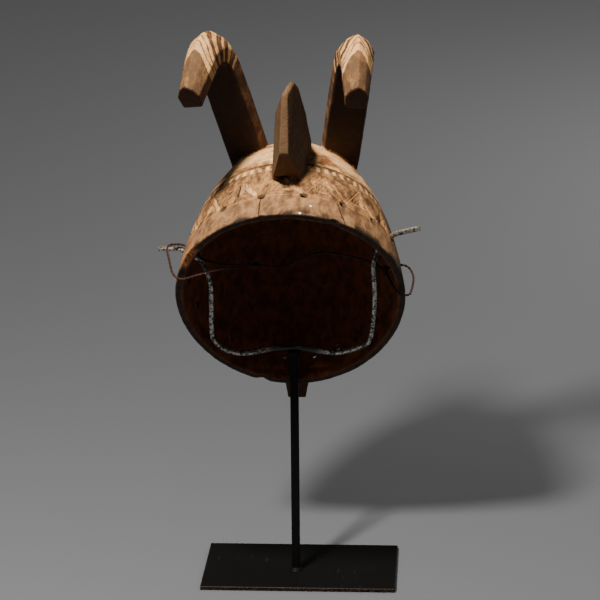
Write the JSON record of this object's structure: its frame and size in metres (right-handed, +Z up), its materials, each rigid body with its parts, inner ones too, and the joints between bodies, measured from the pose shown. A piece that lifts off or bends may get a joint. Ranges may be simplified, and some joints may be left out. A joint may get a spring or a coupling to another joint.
{
  "type": "carved animal mask on a stand",
  "caption": "Hollow carved wooden horned animal mask with a crest, held on a black steel stand by a bent wire, with a loose tying cord.",
  "frame": {"origin": "centre of the base plate's underside", "axes": "+Z up along the post; +Y the way the mask's face looks, away from its opening; +X to the right as seen from behind"},
  "size_m": [0.1881, 0.1813, 0.4171],
  "materials": {
    "carved_wood": "old dry painted wood, matt",
    "black_steel": "satin black paint, worn",
    "worn_wire": "pale wire with worn dark flecks",
    "dark_cord": "twisted dark red-brown cord, matt"
  },
  "bodies": {
    "root": {"mask": "carved_wood", "base_plate": "black_steel", "post": "black_steel", "cradle_wire": "worn_wire", "cord": "dark_cord"}
  },
  "joints": []
}
